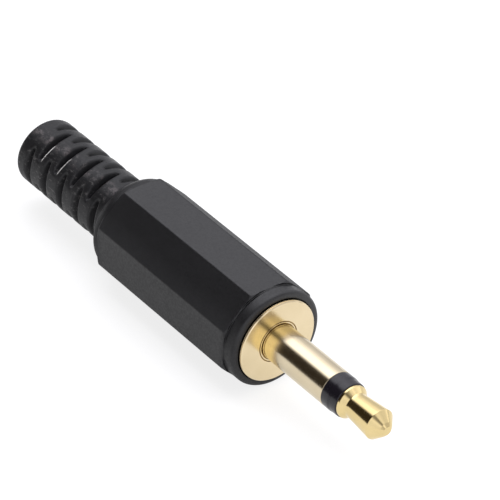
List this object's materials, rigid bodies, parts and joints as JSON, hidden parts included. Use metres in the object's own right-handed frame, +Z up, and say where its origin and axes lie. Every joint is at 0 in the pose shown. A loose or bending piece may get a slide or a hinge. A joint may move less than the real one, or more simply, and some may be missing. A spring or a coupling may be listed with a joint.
{
  "type": "mono jack plug",
  "caption": "Straight mono audio jack plug for a cable: gilt sleeve and tip with a black ring, and a black eight-sided screw-on barrel with a slotted strain relief.",
  "frame": {"origin": "on the plug's axis at the flange's front face, which seats against the socket", "axes": "+X along the plug towards its tip, +Z up, with a flat of the barrel facing down"},
  "size_m": [0.0501, 0.0094, 0.0094],
  "materials": {
    "barrel_plastic": "satin moulded black",
    "gilt_brass": "bright gilt plating on turned brass",
    "ring_plastic": "black, slightly glossy",
    "tube_plastic": "natural",
    "washer_plastic": "brown laminate",
    "terminal_brass": "stamped, thinly gilt"
  },
  "bodies": {
    "plug_core": {"sleeve_body": "gilt_brass", "tip_contact": "gilt_brass", "tip_ring_insulator": "ring_plastic", "core_insulator_tube": "tube_plastic", "rear_insulating_washer": "washer_plastic", "tip_terminal": "terminal_brass", "ground_terminal": "terminal_brass"},
    "barrel_shell": {"barrel": "barrel_plastic"}
  },
  "joints": [
    {"name": "barrel_slide", "type": "slide", "parent": "plug_core", "child": "barrel_shell", "axis": [-1, 0, 0], "range_m": [0, 0.03]}
  ]
}
